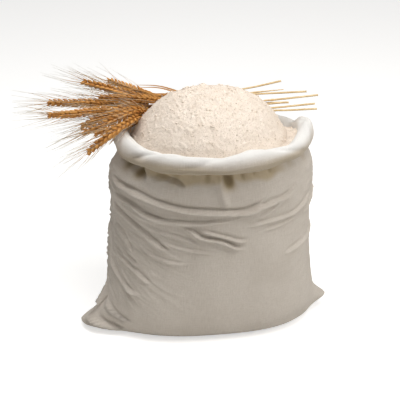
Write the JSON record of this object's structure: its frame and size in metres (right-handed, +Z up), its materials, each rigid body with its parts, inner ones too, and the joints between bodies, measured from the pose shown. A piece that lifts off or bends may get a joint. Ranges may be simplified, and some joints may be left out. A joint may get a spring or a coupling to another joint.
{
  "type": "open flour sack",
  "caption": "Open cotton sack with a rolled rim, heaped with wholemeal flour, a bunch of ripe wheat ears laid across its mouth.",
  "frame": {"origin": "middle of the sack's base, on the floor it stands on", "axes": "+Z up, +X along the sack's width toward the cut ends of the straw, -Y out of its front"},
  "size_m": [0.4542, 0.2812, 0.3719],
  "materials": {
    "cotton": "unbleached woven cotton, matt",
    "wholemeal": "wholemeal flour with flecks of bran",
    "ripe_wheat": "dry ripe straw and ears"
  },
  "bodies": {
    "root": {"sack": "cotton", "flour": "wholemeal", "wheat_01": "ripe_wheat", "wheat_02": "ripe_wheat", "wheat_03": "ripe_wheat", "wheat_04": "ripe_wheat", "wheat_05": "ripe_wheat", "wheat_06": "ripe_wheat", "wheat_07": "ripe_wheat", "wheat_08": "ripe_wheat", "wheat_09": "ripe_wheat", "wheat_10": "ripe_wheat"}
  },
  "joints": []
}
